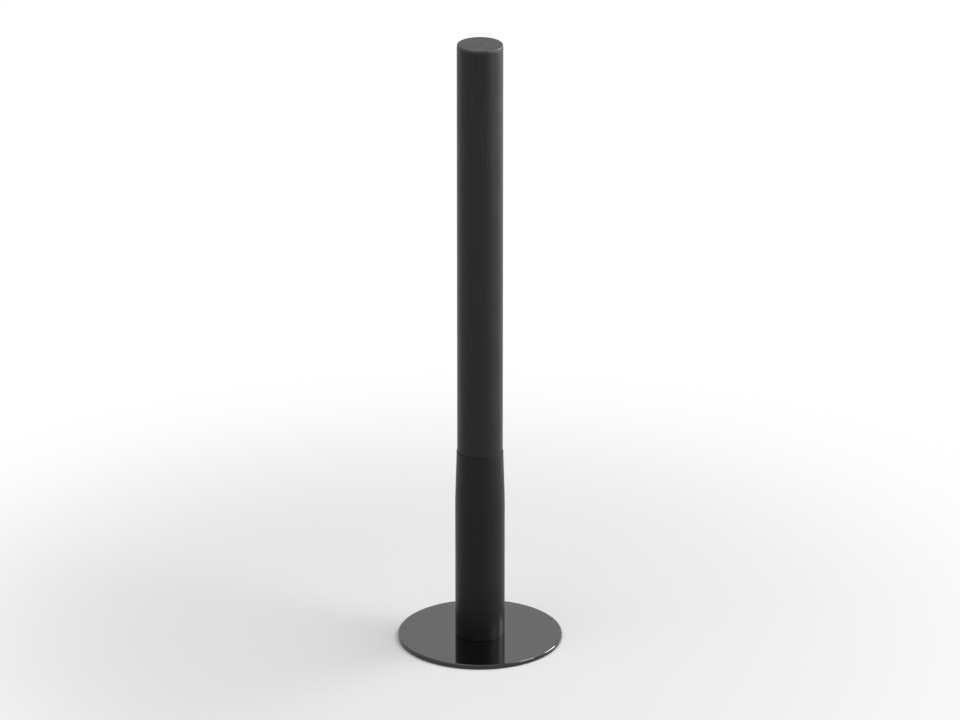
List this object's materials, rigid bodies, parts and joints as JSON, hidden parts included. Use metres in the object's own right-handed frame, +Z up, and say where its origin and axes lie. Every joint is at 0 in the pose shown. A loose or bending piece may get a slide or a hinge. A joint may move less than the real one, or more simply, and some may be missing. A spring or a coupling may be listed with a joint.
{
  "type": "speaker pole",
  "caption": "Short black telescoping speaker pole with a round base disc, a threaded mounting stud below and a smooth upper tube that fits a speaker's socket.",
  "frame": {"origin": "on the pole's axis, in the plane where the base pad rests on the cabinet, at the root of the mounting stud's free thread", "axes": "+Z up along the pole towards the speaker; +X and +Y are equivalent, through two of the disc's screws"},
  "size_m": [0.127, 0.127, 0.5138],
  "materials": {
    "gloss_black": "gloss",
    "black_coat": "satin",
    "black_rubber": "matte",
    "black_plastic": "matte",
    "pale_plastic": "satin",
    "zinc_steel": "satin",
    "turned_aluminium": "satin",
    "brass_nut": "satin"
  },
  "bodies": {
    "base": {"base_disc": "gloss_black", "base_pad": "black_rubber", "disc_screws": "zinc_steel", "mount_stud": "zinc_steel", "foot_plug": "turned_aluminium", "lock_washer": "zinc_steel", "stud_nut": "zinc_steel", "stop_buffer": "black_rubber", "lower_tube": "black_coat"},
    "lock_sleeve": {"expander_sleeve": "black_plastic", "drag_ring": "black_rubber"},
    "mast": {"upper_tube": "black_coat", "top_cap": "black_plastic", "spindle_plug": "turned_aluminium", "cross_pins": "zinc_steel", "lock_spindle": "zinc_steel", "thrust_washer": "pale_plastic", "end_washer": "zinc_steel", "end_screw": "zinc_steel"},
    "lock_cone": {"cone_nut": "brass_nut"}
  },
  "joints": [
    {"name": "height_slide", "type": "slide", "parent": "base", "child": "lock_sleeve", "axis": [0, 0, 1], "range_m": [0, 0.06]},
    {"name": "lock_twist", "type": "hinge", "parent": "lock_sleeve", "child": "mast", "pos_m": [0, 0, 0.06], "axis": [0, 0, 1], "range_deg": [-180, 0]},
    {"name": "cone_travel", "type": "slide", "parent": "lock_sleeve", "child": "lock_cone", "axis": [0, 0, 1], "range_m": [0, 0.000876]}
  ],
  "couplings": [
    {"joint": "cone_travel", "follows": "lock_twist", "m_per_rad": -0.00027852}
  ]
}
